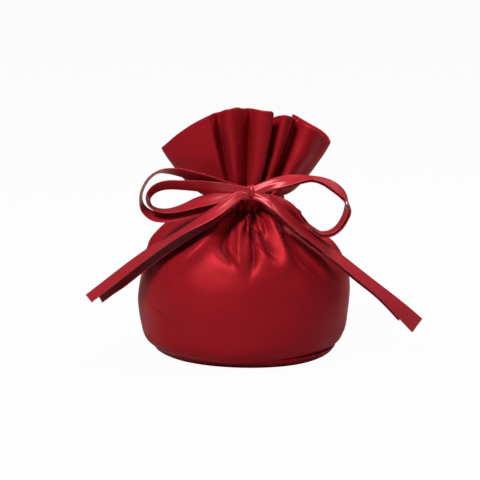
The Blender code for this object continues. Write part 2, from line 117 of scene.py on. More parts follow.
# Ribs of the ruffle, round from the left tip over the front and back behind. Each has the
# angle at which it leaves the casing, how far it stands out there, and its end on the rim.
RUFFLE_RIBS = (
    (-176.0, 0.0000, -0.0432, -0.0010, 0.1085),
    (-160.0, 0.0003, -0.0415, -0.0055, 0.1105),
    (-142.0, 0.0003, -0.0352, -0.0110, 0.1165),
    (-124.0, 0.0002, -0.0273, -0.0155, 0.1225),
    (-109.0, 0.0006, -0.0205, -0.0190, 0.1265),
    (-102.0, 0.0012, -0.0172, -0.0192, 0.1280),
    (-99.0, -0.0010, -0.0150, -0.0110, 0.1280),
    (-97.5, -0.0014, -0.0128, -0.0105, 0.1285),
    (-96.0, 0.0008, -0.0106, -0.0195, 0.1305),
    (-94.0, 0.0014, -0.0070, -0.0225, 0.1315),
    (-92.5, 0.0006, -0.0034, -0.0200, 0.1320),
    (-91.0, -0.0006, -0.0005, -0.0165, 0.1310),
    (-89.5, -0.0016, 0.0024, -0.0110, 0.1305),
    (-88.0, -0.0008, 0.0044, -0.0135, 0.1305),
    (-86.0, 0.0013, 0.0064, -0.0205, 0.1310),
    (-83.5, 0.0014, 0.0105, -0.0228, 0.1305),
    (-81.5, 0.0012, 0.0146, -0.0218, 0.1300),
    (-80.5, 0.0004, 0.0154, -0.0190, 0.1280),
    (-79.8, -0.0016, 0.0132, -0.0140, 0.1260),
    (-78.8, -0.0014, 0.0146, -0.0105, 0.1255),
    (-77.5, 0.0004, 0.0175, -0.0145, 0.1270),
    (-75.0, 0.0014, 0.0208, -0.0195, 0.1280),
    (-72.5, 0.0010, 0.0238, -0.0175, 0.1270),
    (-70.5, -0.0016, 0.0256, -0.0095, 0.1255),
    (-68.0, -0.0016, 0.0276, -0.0085, 0.1240),
    (-65.5, 0.0002, 0.0302, -0.0135, 0.1235),
    (-62.5, 0.0014, 0.0338, -0.0165, 0.1215),
    (-58.0, 0.0010, 0.0378, -0.0150, 0.1190),
    (-48.0, -0.0006, 0.0416, -0.0095, 0.1155),
    (-26.0, -0.0002, 0.0446, -0.0040, 0.1120),
    (-6.0, 0.0003, 0.0454, 0.0005, 0.1115),
    (14.0, 0.0000, 0.0442, 0.0055, 0.1139),
    (30.0, 0.0005, 0.0400, 0.0120, 0.1168),
    (42.0, 0.0009, 0.0340, 0.0170, 0.1196),
    (52.0, 0.0010, 0.0290, 0.0200, 0.1222),
    (58.0, 0.0002, 0.0263, 0.0185, 0.1235),
    (62.0, -0.0016, 0.0270, 0.0125, 0.1230),
    (66.0, -0.0014, 0.0240, 0.0105, 0.1209),
    (72.0, 0.0012, 0.0200, 0.0185, 0.1202),
    (79.0, 0.0010, 0.0150, 0.0215, 0.1206),
    (85.0, -0.0014, 0.0120, 0.0140, 0.1212),
    (90.0, -0.0008, 0.0090, 0.0135, 0.1213),
    (96.0, 0.0013, 0.0055, 0.0215, 0.1201),
    (102.0, 0.0010, 0.0005, 0.0235, 0.1202),
    (107.0, -0.0015, -0.0030, 0.0155, 0.1208),
    (112.0, -0.0010, -0.0060, 0.0145, 0.1206),
    (118.0, 0.0012, -0.0095, 0.0215, 0.1191),
    (125.0, 0.0009, -0.0145, 0.0220, 0.1180),
    (131.0, -0.0014, -0.0180, 0.0140, 0.1182),
    (136.0, -0.0010, -0.0210, 0.0125, 0.1175),
    (142.0, 0.0011, -0.0250, 0.0175, 0.1144),
    (149.0, 0.0007, -0.0300, 0.0160, 0.1122),
    (157.0, -0.0010, -0.0330, 0.0095, 0.1116),
    (163.0, 0.0000, -0.0370, 0.0095, 0.1092),
    (173.0, 0.0003, -0.0415, 0.0055, 0.1078),
)

# Routes of the ribbons, as offsets from the knot in metres, the same as the CAD's. Each point
# ends with the turn of the ribbon in degrees, nought being edge-on to the front, and the
# share of the full width that is spread there.
LEFT_BIG_LOOP = (
    (-0.0014, 0.0010, 0.0004, -85, 0.45),
    (-0.0070, 0.0008, 0.0014, -78, 0.50),
    (-0.0154, 0.0000, 0.0034, -60, 0.75),
    (-0.0226, -0.0008, 0.0060, -42, 0.95),
    (-0.0292, -0.0016, 0.0085, -30, 1.0),
    (-0.0360, -0.0023, 0.0106, -24, 1.0),
    (-0.0430, -0.0030, 0.0117, -14, 1.0),
    (-0.0482, -0.0036, 0.0111, -4, 1.0),
    (-0.0528, -0.0042, 0.0078, -3, 1.0),
    (-0.0562, -0.0049, 0.0018, -3, 1.0),
    (-0.0568, -0.0054, -0.0036, -6, 1.0),
    (-0.0550, -0.0058, -0.0080, -20, 1.0),
    (-0.0502, -0.0062, -0.0112, -32, 1.0),
    (-0.0440, -0.0060, -0.0119, -34, 1.0),
    (-0.0380, -0.0056, -0.0108, -38, 1.0),
    (-0.0308, -0.0040, -0.0085, -45, 1.0),
    (-0.0236, -0.0024, -0.0060, -54, 0.90),
    (-0.0160, -0.0008, -0.0036, -66, 0.70),
    (-0.0080, 0.0006, -0.0016, -78, 0.50),
    (-0.0014, 0.0010, -0.0004, -85, 0.45),
)
LEFT_SMALL_LOOP = (
    (-0.0012, -0.0022, 0.0006, -85, 0.55),
    (-0.0070, -0.0026, 0.0014, -78, 0.60),
    (-0.0150, -0.0031, 0.0022, -62, 0.75),
    (-0.0226, -0.0034, 0.0034, -42, 0.90),
    (-0.0290, -0.0034, 0.0040, -33, 1.0),
    (-0.0360, -0.0034, 0.0044, -29, 1.0),
    (-0.0430, -0.0034, 0.0045, -27, 1.0),
    (-0.0482, -0.0036, 0.0033, -24, 1.0),
    (-0.0518, -0.0040, 0.0006, -17, 1.0),
    (-0.0532, -0.0046, -0.0028, -10, 1.0),
    (-0.0518, -0.0053, -0.0062, -8, 1.0),
    (-0.0476, -0.0059, -0.0082, -12, 1.0),
    (-0.0420, -0.0060, -0.0084, -16, 1.0),
    (-0.0350, -0.0056, -0.0068, -24, 1.0),
    (-0.0280, -0.0050, -0.0044, -36, 1.0),
    (-0.0205, -0.0043, -0.0026, -50, 0.85),
    (-0.0130, -0.0035, -0.0014, -66, 0.70),
    (-0.0070, -0.0028, -0.0008, -78, 0.60),
    (-0.0012, -0.0022, -0.0006, -85, 0.55),
)
RIGHT_FRONT_LOOP = (
    (0.0012, -0.0020, 0.0008, 95, 0.60),
    (0.0072, -0.0026, 0.0036, 106, 0.62),
    (0.0128, -0.0032, 0.0055, 120, 0.74),
    (0.0190, -0.0036, 0.0070, 138, 0.90),
    (0.0250, -0.0038, 0.0080, 156, 1.0),
    (0.0310, -0.0038, 0.0083, 166, 1.0),
    (0.0370, -0.0038, 0.0068, 160, 1.0),
    (0.0424, -0.0038, 0.0038, 152, 1.0),
    (0.0466, -0.0038, 0.0002, 158, 1.0),
    (0.0492, -0.0038, -0.0040, 174, 1.0),
    (0.0497, -0.0038, -0.0086, 192, 1.0),
    (0.0482, -0.0040, -0.0132, 194, 1.0),
    (0.0450, -0.0044, -0.0180, 194, 1.0),
    (0.0406, -0.0048, -0.0210, 194, 1.0),
    (0.0350, -0.0052, -0.0214, 192, 1.0),
    (0.0302, -0.0052, -0.0182, 186, 1.0),
    (0.0250, -0.0048, -0.0136, 170, 1.0),
    (0.0196, -0.0040, -0.0090, 145, 0.95),
    (0.0140, -0.0032, -0.0054, 116, 0.72),
    (0.0076, -0.0025, -0.0024, 102, 0.60),
    (0.0012, -0.0020, -0.0006, 95, 0.60),
)
LEFT_FRONT_TAIL = (
    (-0.0012, -0.0022, -0.0006, 85, 0.55),
    (-0.0062, -0.0044, -0.0006, 72, 0.55),
    (-0.0115, -0.0068, -0.0036, 58, 0.70),
    (-0.0175, -0.0092, -0.0075, 46, 0.85),
    (-0.0241, -0.0104, -0.0115, 34, 0.95),
    (-0.0317, -0.0100, -0.0158, 27, 1.0),
    (-0.0393, -0.0084, -0.0206, 26, 1.0),
    (-0.0470, -0.0062, -0.0261, 28, 1.0),
    (-0.0549, -0.0030, -0.0323, 31, 1.0),
    (-0.0629, 0.0008, -0.0389, 33, 1.0),
    (-0.0711, 0.0046, -0.0460, 34, 1.0),
    (-0.0788, 0.0082, -0.0526, 34, 1.0),
    (-0.0860, 0.0112, -0.0588, 34, 1.0),
)
LEFT_REAR_TAIL = (
    (-0.0014, 0.0010, -0.0002, 85, 0.42),
    (-0.0062, 0.0010, -0.0022, 78, 0.42),
    (-0.0113, 0.0004, -0.0064, 65, 0.55),
    (-0.0175, -0.0010, -0.0114, 50, 0.70),
    (-0.0243, -0.0024, -0.0163, 36, 0.90),
    (-0.0319, -0.0034, -0.0212, 28, 1.0),
    (-0.0394, -0.0036, -0.0262, 26, 1.0),
    (-0.0472, -0.0018, -0.0318, 28, 1.0),
    (-0.0541, 0.0010, -0.0374, 32, 1.0),
    (-0.0611, 0.0044, -0.0430, 38, 1.0),
    (-0.0676, 0.0074, -0.0485, 40, 1.0),
    (-0.0735, 0.0100, -0.0534, 34, 1.0),
    (-0.0801, 0.0128, -0.0593, 30, 1.0),
)
RIGHT_FRONT_TAIL = (
    (0.0012, -0.0022, -0.0006, -85, 0.55),
    (0.0077, -0.0052, -0.0030, -62, 0.60),
    (0.0128, -0.0076, -0.0064, -45, 0.75),
    (0.0189, -0.0092, -0.0117, -32, 0.90),
    (0.0265, -0.0098, -0.0183, -28, 1.0),
    (0.0353, -0.0092, -0.0253, -30, 1.0),
    (0.0451, -0.0070, -0.0335, -34, 1.0),
    (0.0558, -0.0034, -0.0428, -36, 1.0),
    (0.0655, 0.0006, -0.0513, -38, 1.0),
    (0.0733, 0.0040, -0.0587, -48, 1.0),
    (0.0806, 0.0070, -0.0660, -64, 1.0),
    (0.0876, 0.0098, -0.0731, -78, 1.0),
)
RIGHT_REAR_TAIL = (
    (0.0014, 0.0010, -0.0004, -85, 0.45),
    (0.0064, 0.0012, -0.0042, -80, 0.45),
    (0.0120, 0.0012, -0.0094, -68, 0.55),
    (0.0186, 0.0008, -0.0150, -52, 0.70),
    (0.0266, -0.0004, -0.0216, -38, 0.90),
    (0.0355, -0.0020, -0.0284, -32, 1.0),
    (0.0453, -0.0018, -0.0360, -34, 1.0),
    (0.0556, 0.0006, -0.0448, -36, 1.0),
    (0.0650, 0.0040, -0.0528, -38, 1.0),
    (0.0724, 0.0070, -0.0598, -46, 1.0),
    (0.0792, 0.0098, -0.0668, -56, 1.0),
)

# How far the hidden second right loop lies inside the first, freely and at the knot
LOOP_NESTING = 0.0013
KNOT_NESTING = 0.0032
NESTING_REACH = 0.0240
NESTED_WIDTH = 0.9

# Over how many of a ribbon's last stations its slanting cut is worked in
CUT_STATIONS = 12


class PouchSizes(bpy.types.PropertyGroup):
    """Sizes and colours of the sewn cloth."""

    body_width: FloatProperty(
        name="Body Width", description="Widest width of the filled body",
        default=POUCH_HIGH.x - POUCH_LOW.x, unit="LENGTH",
    )
    body_depth: FloatProperty(
        name="Body Depth", description="Widest depth of the filled body, front to back",
        default=POUCH_HIGH.y - POUCH_LOW.y, unit="LENGTH",
    )
    ruffle_wall: FloatProperty(
        name="Ruffle Wall", description="Thickness of the ruffle's cloth",
        default=0.0007, unit="LENGTH",
    )
    columns: IntProperty(
        name="Columns", description="Mesh columns round the cloth", default=400,
    )
    colour: FloatVectorProperty(
        name="Satin", description="Colour of the pouch's satin", subtype="COLOR",
        default=(0.300, 0.0070, 0.0130),
    )
    # The darker colour that the satin is mixed toward in random noise patches and, as painted
    # shade, in the fold valleys
    patch_and_crease_shade_colour: FloatVectorProperty(
        name="Deep Satin", description="Colour of the satin in its creases", subtype="COLOR",
        default=(0.110, 0.0020, 0.0040),
    )


class RibbonSizes(bpy.types.PropertyGroup):
    """Sizes and colours of the two ribbons."""

    width: FloatProperty(
        name="Width", description="Width of the satin ribbon", default=0.0090, unit="LENGTH",
    )
    thickness: FloatProperty(
        name="Thickness", description="Thickness of the satin ribbon",
        default=0.00036, unit="LENGTH",
    )
    colour: FloatVectorProperty(
        name="Ribbon", description="Colour of the ribbon's face", subtype="COLOR",
        default=(0.360, 0.0120, 0.0220),
    )


class StageSettings(bpy.types.PropertyGroup):
    """The camera's distance and the strength of the studio's light."""

    camera_distance: FloatProperty(
        name="Camera Distance", description="From the camera to the point that it looks at",
        default=0.9, unit="LENGTH",
    )
    key_power: FloatProperty(
        name="Key Power", description="Power of the softbox at the front left in watts",
        default=22.0,
    )
    floor_colour: FloatVectorProperty(
        name="Floor", description="Colour of the pale floor", subtype="COLOR",
        default=(0.42, 0.42, 0.42),
    )


class Value:
    """An output of a shader node, so that sums on it are written as plain expressions."""

    def __init__(self, tree, socket):
        self.tree = tree
        self.socket = socket

    def math(self, operation, *operands):
        """Add one Math node over this output and more numbers or outputs."""
        node = self.tree.nodes.new("ShaderNodeMath")
        node.operation = operation
        for socket, operand in zip(node.inputs, operands):
            join(self.tree, socket, operand)
        return Value(self.tree, node.outputs[0])

    def __add__(self, other):
        return self.math("ADD", self, other)

    def __radd__(self, other):
        return self.math("ADD", other, self)

    def __sub__(self, other):
        return self.math("SUBTRACT", self, other)

    def __rsub__(self, other):
        return self.math("SUBTRACT", other, self)

    def __mul__(self, other):
        return self.math("MULTIPLY", self, other)

    def __rmul__(self, other):
        return self.math("MULTIPLY", other, self)

    def __pow__(self, other):
        return self.math("POWER", self, other)


def join(tree, socket, value):
    """Link an output to a socket, or set the socket to a plain value."""
    if isinstance(value, Value):
        tree.links.new(value.socket, socket)
    elif value is not None:
        socket.default_value = value


class Finish:
    """The node tree of one material or of the world, with short ways to add to it."""

    def __init__(self, name, block=None):
        self.block = block or bpy.data.materials.new(name)
        self.block.use_nodes = True
        self.tree = self.block.node_tree
        self.shader = self.tree.nodes.get("Principled BSDF")

    def node(self, kind, settings=None, inputs=None, output=0):
        """Add a node: its settings first, then its sockets by name or number."""
        node = self.tree.nodes.new("ShaderNode" + kind)
        for key, value in (settings or {}).items():
            if key == "stops":
                set_stops(node.color_ramp, value)
            else:
                setattr(node, key, value)
        for key, value in (inputs or {}).items():
            join(self.tree, node.inputs[key], value)
        return Value(self.tree, node.outputs[output])

    def mix(self, share, low, high):
        """Mix two colours by a share."""
        settings = {"data_type": "RGBA"}
        return self.node("Mix", settings, {0: share, 6: low, 7: high}, output=2)

    def cloth_place(self):
        """The place on the flat cloth in metres."""
        return self.node("UVMap", {"uv_map": "cloth"})

    def scaled(self, vector, scale):
        """A place stretched by three factors."""
        return self.node("VectorMath", {"operation": "MULTIPLY"}, {0: vector, 1: scale})

    def set(self, **sockets):
        """Set or link sockets of the Principled shader by name, spaces as underscores."""
        for key, value in sockets.items():
            join(self.tree, self.shader.inputs[key.replace("_", " ")], value)


def set_stops(ramp, stops):
    """Give a colour ramp its stops, each a position and a grey level."""
    while len(ramp.elements) < len(stops):
        ramp.elements.new(1.0)
    for element, (position, level) in zip(ramp.elements, stops):
        element.position = position
        element.color = (level, level, level, 1.0)


def rgba(colour):
    """A colour property as four numbers."""
    return (*colour, 1.0)


def satin(name, colour, patch_and_shade_colour, thread, shine, gloss):
    """Satin cloth: shiny threads, fine uneven darker patches, and painted shade in the creases."""
    finish = Finish(name)
    place = finish.cloth_place()
    body = finish.node("TexCoord", output=3)
    patches = finish.node("TexNoise", inputs={"Vector": body, "Scale": 45.0, "Detail": 4.0})
    # Base colour goes toward the darker colour in random noise patches and, as painted shade,
    # along the fold valleys that the mesh attribute marks
    crease = finish.node("Attribute", {"attribute_name": "crease"}, output=2)
    patch_and_shade_share = (0.35 * patches + crease * 0.75).math("MINIMUM", 0.35 * patches + crease * 0.75, 1.0)
    warps = finish.node(
        "TexNoise",
        inputs={"Vector": finish.scaled(place, (1 / thread, 0.12 / thread, 0.0)),
                "Scale": 1.0, "Detail": 1.0},
    )
    wefts = finish.node(
        "TexNoise",
        inputs={"Vector": finish.scaled(place, (0.2 / thread, 1 / thread, 0.0)),
                "Scale": 1.0, "Detail": 1.0},
    )
    weave = warps * 0.7 + wefts * 0.3
    bump = finish.node(
        "Bump", inputs={"Strength": 0.25, "Distance": thread * 0.35, "Height": weave},
    )
    finish.set(
        Base_Color=finish.mix(patch_and_shade_share, rgba(colour), rgba(patch_and_shade_colour)),
        Roughness=shine + 0.12 * weave,
        Metallic=0.40 - 0.5 * gloss,
        Specular_IOR_Level=gloss,
        Sheen_Weight=0.02,
        Sheen_Roughness=0.35,
        Sheen_Tint=(1.0, 0.35, 0.38, 1.0),
        Normal=bump,
    )
    return finish.block


def spline(rows, places, closed=False):
    """Rows of numbers read off a smooth curve through the given rows, at places in rows."""
    rows = np.asarray(rows, float)
    count = len(rows)
    places = np.asarray(places, float)
    start = np.floor(places).astype(int)
    if not closed:
        start = np.clip(start, 0, count - 2)
    t = (places - start)[:, None]

    def row(step):
        index = start + step
        if closed:
            return rows[index % count]
        before = 2 * rows[0] - rows[1]
        after = 2 * rows[-1] - rows[-2]
        padded = np.vstack([before, rows, after])
        return padded[np.clip(index + 1, 0, count + 1)]

    a, b, c, d = row(-1), row(0), row(1), row(2)
    curve = 2 * b + (c - a) * t + (2 * a - 5 * b + 4 * c - d) * t ** 2
    return (curve + (3 * b - a - 3 * c + d) * t ** 3) / 2


def eased(share):
    """A share from nought to one with level ends."""
    share = np.clip(share, 0.0, 1.0)
    return share * share * (3 - 2 * share)


def grid_normals(grid):
    """Outward normals of a closed grid of points: levels, then columns."""
    around = np.roll(grid, -1, axis=1) - np.roll(grid, 1, axis=1)
    upward = np.gradient(grid, axis=0)
    normals = np.cross(around, upward)
    return normals / np.maximum(np.linalg.norm(normals, axis=2, keepdims=True), 1e-9)


def grid_object(name, grid, material, crease=None, floor_closed=False):
    """A mesh over a grid that closes round its columns, with the cloth's flat places."""
    levels, columns, _ = grid.shape
    verts = grid.reshape(-1, 3)
    index = np.arange(levels * columns).reshape(levels, columns)
    after = np.roll(index, -1, axis=1)
    quads = np.stack([index[:-1], after[:-1], after[1:], index[1:]], axis=2).reshape(-1, 4)
    faces = quads.tolist()
    if floor_closed:
        middle = len(verts)
        verts = np.vstack([verts, grid[-1].mean(axis=0)])
        faces += [(int(a), int(b), middle) for a, b in zip(index[-1], after[-1])]
    mesh = bpy.data.meshes.new(name)
    mesh.from_pydata(verts.tolist(), [], faces)
    mesh.update()
    wide = np.linalg.norm(np.roll(grid, -1, axis=1) - grid, axis=2).max(axis=0)
    across = np.concatenate([[0.0], np.cumsum(wide)])
    tall = np.linalg.norm(np.diff(grid, axis=0), axis=2).mean(axis=1)
    along = np.concatenate([[0.0], np.cumsum(tall)])
    layer = mesh.uv_layers.new(name="cloth")
    places = np.zeros((len(mesh.loops), 2), np.float32)
    column, level = np.meshgrid(np.arange(columns), np.arange(levels - 1))
    left, right = across[column], across[column + 1]
    low, high = along[level], along[level + 1]
    corners = np.stack([left, low, right, low, right, high, left, high], axis=2)
    places[:quads.shape[0] * 4] = corners.reshape(-1, 2)
    layer.data.foreach_set("uv", places.ravel())
    # Each point's share of painted shade in the fold valleys, for the satin's base colour
    if crease is not None:
        levels_of = np.zeros(len(verts), np.float32)
        levels_of[:crease.size] = crease.ravel()
        mesh.attributes.new("crease", "FLOAT", "POINT").data.foreach_set("value", levels_of)
    mesh.shade_smooth()
    mesh.materials.append(material)
    made = bpy.data.objects.new(name, mesh)
    bpy.context.scene.collection.objects.link(made)
    return made


def roughened(grid, normals, size, depth, seed):
    """A grid moved along its normals by smooth noise of the given patch size and depth."""
    moved = np.empty(grid.shape[:2])
    offset = Vector((seed, 2 * seed, 3 * seed))
    for level in range(grid.shape[0]):
        for column in range(grid.shape[1]):
            at = Vector(grid[level, column]) / size + offset
            moved[level, column] = noise.noise(at)
    return grid + normals * (moved * depth)[:, :, None]


def rib_columns(count):
    """Places among the ribs for evenly spread columns of cloth."""
    fine = np.arange(0, len(RUFFLE_RIBS), 0.02)
    ribs = spline(ring_ribs(), fine, closed=True)
    ahead = np.roll(ribs, -1, axis=0)
    turn = np.hypot(ahead[:, 0] - ribs[:, 0], ahead[:, 1] - ribs[:, 1])
    rim = np.linalg.norm(ahead[:, 3:] - ribs[:, 3:], axis=1)
    travelled = np.concatenate([[0.0], np.cumsum(rim + 0.05 * turn)])
    wanted = np.linspace(0.0, travelled[-1], count, endpoint=False)
    return np.interp(wanted, travelled, np.append(fine, len(RUFFLE_RIBS)))


def ring_ribs():
    """The ribs with their angles as directions, so that they close round the pouch."""
    rows = []
    for angle, stand, x, y, z in RUFFLE_RIBS:
        turn = math.radians(angle)
        rows.append((math.cos(turn), math.sin(turn), stand, x, y, z))
    return rows


def fold_rise(fold, angles, heights):
    """How far one fold lifts the cloth at each level and column."""
    rise, left, right, path = fold
    line = spline(path, np.linspace(0, len(path) - 1, 60))
    order = np.argsort(line[:, 1])
    crest = np.interp(heights, line[order, 1], line[order, 0])[:, None]
    top = path[0][1]
    bottom = path[-1][1]
    along = np.clip((top - heights) / (top - bottom), -0.5, 1.5)[:, None]
    span = (body_reach(heights) * math.pi / 180)[:, None]
    off = (angles[None, :] - crest + 180) % 360 - 180
    spread = 0.35 + 0.65 * np.clip(along, 0, 1)
    side = np.where(off < 0, left, right) * spread
    across = np.abs(off * span / side)
    strength = eased((along + 0.15) / 0.35) * (1 - eased((along - 0.55) / 0.6))
    return rise * strength * np.exp(-across ** 1.6)


def body_reach(heights):
    """Mean radius of the body at given heights."""
    outline = np.array(BODY_OUTLINE)
    sizes = bpy.context.scene.kinchaku_pouch
    reach = np.interp(heights, outline[:, 0] * CASING_BOTTOM, outline[:, 3])
    return reach * sizes.body_depth / 2


def side_folds():
    """Gathers round the sides and back of the body, of uneven length and depth."""
    draw = random.Random(11)
    folds = []
    angle = -24.0
    while angle < 206.0:
        length = draw.uniform(0.018, 0.040)
        rise = draw.uniform(0.0012, 0.0030) * (1 if len(folds) % 2 else -1)
        drift = draw.uniform(-7.0, 7.0)
        wide = draw.uniform(0.0030, 0.0065)
        top = 0.0780
        path = (
            (angle, top),
            (angle + 0.2 * drift, top - 0.3 * length),
            (angle + 0.6 * drift, top - 0.65 * length),
            (angle + drift, top - length),
        )
        folds.append((rise, wide, wide * draw.uniform(0.7, 1.4), path))
        angle += draw.uniform(8.0, 13.0)
    return folds


def body_grid(angles, stands):
    """The outside of the filled body, from the base seam up to the casing."""
    sizes = bpy.context.scene.kinchaku_pouch
    outline = np.array(BODY_OUTLINE)
    half = np.array([
        CASING_BOTTOM, sizes.body_width / 2, sizes.body_width / 2, sizes.body_depth / 2,
    ])
    fine = spline(outline * half, np.linspace(0, len(outline) - 1, 400))
    step = np.hypot(np.diff(fine[:, 0]), np.diff(fine[:, 3]))
    travelled = np.concatenate([[0.0], np.cumsum(step)])
    wanted = np.linspace(0, travelled[-1], 128)
    rows = np.stack([np.interp(wanted, travelled, fine[:, k]) for k in range(4)], axis=1)
    turn = np.radians(angles)[None, :]
    heights, left, right, depth = (rows[:, k][:, None] for k in range(4))
    width = left + (right - left) * (1 + np.cos(turn)) / 2
    near_neck = eased((heights - 0.064) / (CASING_BOTTOM - 0.064))
    stand = near_neck * stands[None, :]
    grid = np.stack([
        (width + stand) * np.cos(turn),
        (depth + stand) * np.sin(turn),
        heights + 0 * turn,
    ], axis=2)
    normals = grid_normals(grid)
    lift = np.zeros(grid.shape[:2])
    for fold in (*FRONT_FOLDS, *side_folds()):
        lift += fold_rise(fold, angles, rows[:, 0])
    grid = grid + normals * lift[:, :, None]
    grid = roughened(grid, normals, 0.022, 0.0010, 3.7)
    grid = roughened(grid, grid_normals(grid), 0.009, 0.00022, 8.1)
    return grid, lift


def casing_grid(angles, stands):
    """The casing: a short gathered band, pressed in along its two rows of stitches."""
    turn = np.radians(angles)[None, :]
    rise = np.linspace(0, 1, 9)[1:-1, None]
    swell = 0.0006 * np.sin(math.pi * rise) - 0.0004
    reach = NECK_RADIUS + 0.0006 + swell + stands[None, :] * 0.8
    return np.stack([
        reach * np.cos(turn),
        reach * np.sin(turn),
        CASING_BOTTOM + (CASING_TOP - CASING_BOTTOM) * rise + 0 * turn,
    ], axis=2)


def ruffle_grid(ribs):
    """The outside of the ruffle, from the casing up to the rim."""
    rise = np.concatenate([np.linspace(0, 0.2, 14), np.linspace(0.2, 1, 47)[1:]])[:, None, None]
    turn = np.arctan2(ribs[:, 1], ribs[:, 0])
    reach = NECK_RADIUS + ribs[:, 2]
    start = np.stack([reach * np.cos(turn), reach * np.sin(turn), 0 * turn + CASING_TOP], axis=1)
    end = ribs[:, 3:]
    flare = rise ** 0.58
    grid = start[None] + (end - start)[None] * np.concatenate([flare, flare, rise], axis=2)
    normals = grid_normals(grid)
    return roughened(grid, normals, 0.011, 0.0006, 5.3)


def pouch_grid():
    """Every level of the sewn cloth, and how much painted shade each point gets for lying in a
    fold valley.
    """
    sizes = bpy.context.scene.kinchaku_pouch
    ribs = spline(ring_ribs(), rib_columns(sizes.columns), closed=True)
    angles = np.degrees(np.arctan2(ribs[:, 1], ribs[:, 0]))
    body, lift = body_grid(angles, ribs[:, 2])
    casing = casing_grid(angles, ribs[:, 2])
    outer = ruffle_grid(ribs)
    normals = grid_normals(outer)
    rim = outer[-1] + 0.5 * sizes.ruffle_wall * (np.array([0, 0, 1.0]) - normals[-1])
    keep = outer.shape[0] // 7
    inner = (outer - sizes.ruffle_wall * normals)[keep:][::-1]
    middle = inner[-1].mean(axis=0)
    shrink = np.linspace(1, 0.06, 9)[1:, None, None]
    pucker = middle + (inner[-1] - middle) * shrink
    pucker[:, :, 2] -= 0.004 * (1 - shrink[:, :, 0])
    grid = np.concatenate([body, casing, outer, rim[None], inner, pucker])
    crease = np.zeros(grid.shape[:2])
    # Painted shade share: the deeper a fold valley, the darker the satin is painted there
    crease[:body.shape[0]] = np.clip(-lift / 0.003, 0, 1)
    return grid, crease


def route_stations(route, width, count):
    """Centres of a ribbon, its travel and its half width at evenly spread places."""
    rows = spline(route, np.linspace(0, len(route) - 1, 12 * len(route)))
    step = np.linalg.norm(np.diff(rows[:, :3], axis=0), axis=1)
    travelled = np.concatenate([[0.0], np.cumsum(step)])
    wanted = np.linspace(0, travelled[-1], count)
    rows = np.stack([np.interp(wanted, travelled, rows[:, k]) for k in range(5)], axis=1)
    travel = np.gradient(rows[:, :3], axis=0)
    travel /= np.linalg.norm(travel, axis=1, keepdims=True)
    look = np.array(LOOK)
    front = -look + travel * (travel @ look)[:, None]
    front /= np.linalg.norm(front, axis=1, keepdims=True)
    left = np.cross(travel, look)
    left /= np.linalg.norm(left, axis=1, keepdims=True)
    turn = np.radians(rows[:, 3])[:, None]
    across = front * np.cos(turn) + left * np.sin(turn)
    return rows[:, :3], travel, across, rows[:, 4] * width / 2


def nested(stations):
    """Stations of a second ribbon that lies against the back of the first."""
    at, travel, across, half = stations
    near = np.clip(1 - np.linalg.norm(at, axis=1) / NESTING_REACH, 0, 1)
    depth = LOOP_NESTING + (KNOT_NESTING - LOOP_NESTING) * near
    back = np.cross(travel, across)
    return at - back * depth[:, None], travel, across, half * NESTED_WIDTH


def ribbon_object(name, stations, material, slant=0.0):
    """One free stretch of ribbon as a thin band with thread-thick edges, curled by the knot."""
    sizes = bpy.context.scene.kinchaku_ribbon
    at, travel, across, half = stations
    normal = np.cross(travel, across)
    share = half * 2 / sizes.width
    places = np.linspace(-1, 1, 19)
    gather = np.clip(1 - share, 0, 1)[:, None] * -(normal @ np.array(LOOK))[:, None]
    curl = 0.75 * (1 - places ** 2) + 0.10 * np.cos(2.3 * math.pi * places + 0.7)
    wave = gather * half[:, None] * curl[None, :]
    edge = np.abs(places) ** 24
    thick = sizes.thickness * (0.5 + 0.22 * edge)[None, :]
    last = slant * np.clip((np.arange(len(at)) - len(at) + CUT_STATIONS) / CUT_STATIONS, 0, 1)
    across_at = places[None, :] * half[:, None]
    centre = at[:, None, :] + across[:, None, :] * across_at[:, :, None]
    centre = centre + travel[:, None, :] * (last[:, None] * places[None, :])[:, :, None]
    face = centre + normal[:, None, :] * (wave + thick)[:, :, None]
    back = centre + normal[:, None, :] * (wave - thick)[:, :, None]
    side = across * (sizes.thickness * 0.45)
    ring = np.concatenate([
        face, (centre[:, -1] + side)[:, None, :], back[:, ::-1],
        (centre[:, 0] - side)[:, None, :],
    ], axis=1)
    ring = np.concatenate([
        ring[:1].mean(axis=1, keepdims=True) * 0.98 + ring[:1] * 0.02, ring,
        ring[-1:].mean(axis=1, keepdims=True) * 0.98 + ring[-1:] * 0.02,
    ])
    ring = ring + np.array(KNOT)
    return grid_object(name, ring, material, floor_closed=True)


def declare_ribbon(piece, stations, node):
    """Attach a stretch of ribbon to the root and hide the CAD node that it stands for."""
    line = stations[0] + np.array(KNOT)
    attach(piece, "root")
    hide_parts(node)
    node + "_satin"


def ribbon_satin():
    """The ribbon's satin, made once for all its stretches."""
    sizes = bpy.context.scene.kinchaku_ribbon
    ready = bpy.data.materials.get("ribbon_satin")
    # The darker colour of the ribbon's random patches; the ribbons carry no fold-valley share, so
    # no painted shade
    patch_and_shade_colour = tuple(0.55 * channel for channel in sizes.colour)
    return ready or satin("ribbon_satin", sizes.colour, patch_and_shade_colour, 0.00030, 0.32, 0.35)


class KINCHAKU_OT_stage(bpy.types.Operator):
    """Set up the camera, the floor and the softboxes"""

    bl_idname = "kinchaku.stage"
    bl_label = "Studio"

    def execute(self, context):
        settings = context.scene.kinchaku_stage
        context.scene.view_settings.view_transform = "Standard"
        make_camera(settings)
        make_floor(settings)
        make_world(context.scene)
        make_softboxes(settings)
        return {"FINISHED"}


def make_camera(settings):
    """The camera, which looks at the pouch from the front and a little above."""
    target = Vector((-0.00213, 0.0, 0.05878))
    camera = bpy.data.cameras.new("camera")
    camera.lens = 126.57 * settings.camera_distance / 0.9
    camera.sensor_width = 36.0
    made = bpy.data.objects.new("camera", camera)
    made.location = target - LOOK * settings.camera_distance
    made.rotation_euler = LOOK.to_track_quat("-Z", "Y").to_euler()
    bpy.context.scene.collection.objects.link(made)
    bpy.context.scene.camera = made


